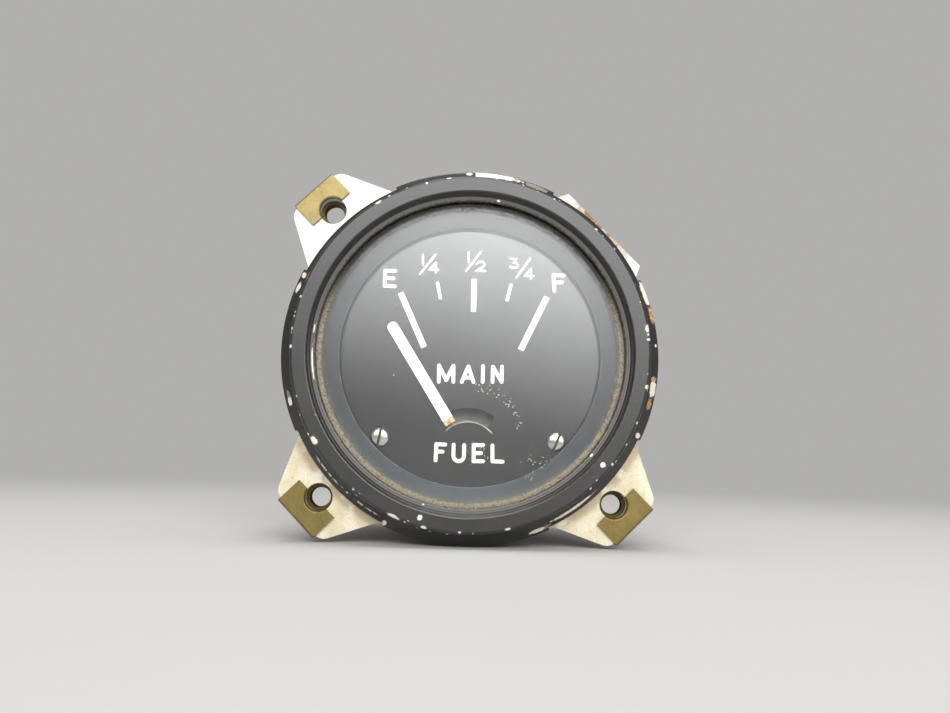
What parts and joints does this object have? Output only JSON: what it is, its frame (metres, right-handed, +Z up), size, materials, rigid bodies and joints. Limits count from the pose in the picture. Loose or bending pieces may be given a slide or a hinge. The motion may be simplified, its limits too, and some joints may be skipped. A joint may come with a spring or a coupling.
{
  "type": "aircraft fuel gauge",
  "caption": "Round panel-mounted electric fuel gauge with a glazed black bezel, eared mounting flange, slotted dial and a white pointer that swings from E to F.",
  "frame": {"origin": "on the bezel's axis, in the plane of the ears' front face that seats behind the panel", "axes": "+X to the right of the dial as it is read, +Y from the dial back along the case, +Z up the dial"},
  "size_m": [0.0612, 0.0576, 0.0612],
  "materials": {
    "bezel_enamel": "satin black enamel, chipped at the rim",
    "black_rubber": "aged black rubber",
    "clear_glass": "flat clear glass with dust at its edge",
    "reflector_paint": "dull dark grey paint",
    "dial_paint": "satin black paint with white markings",
    "nickel_screws": "bright nickel plate",
    "plated_flange": "dull plated metal with light tarnish",
    "clip_brass": "tarnished brass",
    "case_paint": "satin black enamel",
    "post_brass": "turned brass",
    "plate_metal": "rolled sheet",
    "bearing_bronze": "turned bronze",
    "soft_iron": "annealed iron",
    "bobbin_plastic": "moulded brown phenolic",
    "copper_wire": "enamelled copper wire",
    "fibre_board": "red-brown vulcanised fibre",
    "resistance_wire": "bare resistance wire",
    "washer_steel": "plated spring steel",
    "terminal_brass": "plain brass",
    "lead_cover": "varnished sleeve",
    "pointer_paint": "white paint, bare at its foot",
    "staff_steel": "ground steel"
  },
  "bodies": {
    "case": {"bezel": "bezel_enamel", "glass_gasket": "black_rubber", "cover_glass": "clear_glass", "reflector_ring": "reflector_paint", "dial_plate": "dial_paint", "dial_screws": "nickel_screws", "mounting_flange": "plated_flange", "clip_nut_upper_left": "clip_brass", "clip_nut_lower_left": "clip_brass", "clip_nut_lower_right": "clip_brass", "case_gasket": "black_rubber", "case_can": "case_paint", "case_screws": "nickel_screws", "back_posts": "post_brass", "plate_screws": "nickel_screws", "movement_plate": "plate_metal", "dial_posts": "post_brass", "stop_pins": "post_brass", "front_bushing": "bearing_bronze", "rear_bushing": "bearing_bronze", "rear_bridge": "plate_metal", "bridge_posts": "post_brass", "bridge_screws": "nickel_screws", "empty_core": "soft_iron", "empty_bobbin": "bobbin_plastic", "empty_winding": "copper_wire", "empty_bracket": "soft_iron", "empty_core_screw": "nickel_screws", "full_core": "soft_iron", "full_bobbin": "bobbin_plastic", "full_winding": "copper_wire", "full_bracket": "soft_iron", "full_core_screw": "nickel_screws", "bracket_rivets": "post_brass", "resistor_card": "fibre_board", "resistor_winding": "resistance_wire", "resistor_posts": "post_brass", "terminal_bushings": "fibre_board", "terminal_insulators": "fibre_board", "terminal_washers": "washer_steel", "clamp_nuts": "terminal_brass", "terminal_nuts": "terminal_brass", "sender_stud": "terminal_brass", "supply_stud": "terminal_brass", "sender_lead": "lead_cover", "supply_lead": "lead_cover"},
    "needle": {"pointer": "pointer_paint", "pointer_staff": "staff_steel", "armature": "soft_iron", "balance_weight": "post_brass"}
  },
  "joints": [
    {"name": "needle_swing", "type": "hinge", "parent": "case", "child": "needle", "pos_m": [0, 0.01, -0.0159], "axis": [0, 1, 0], "range_deg": [0, 59]}
  ]
}
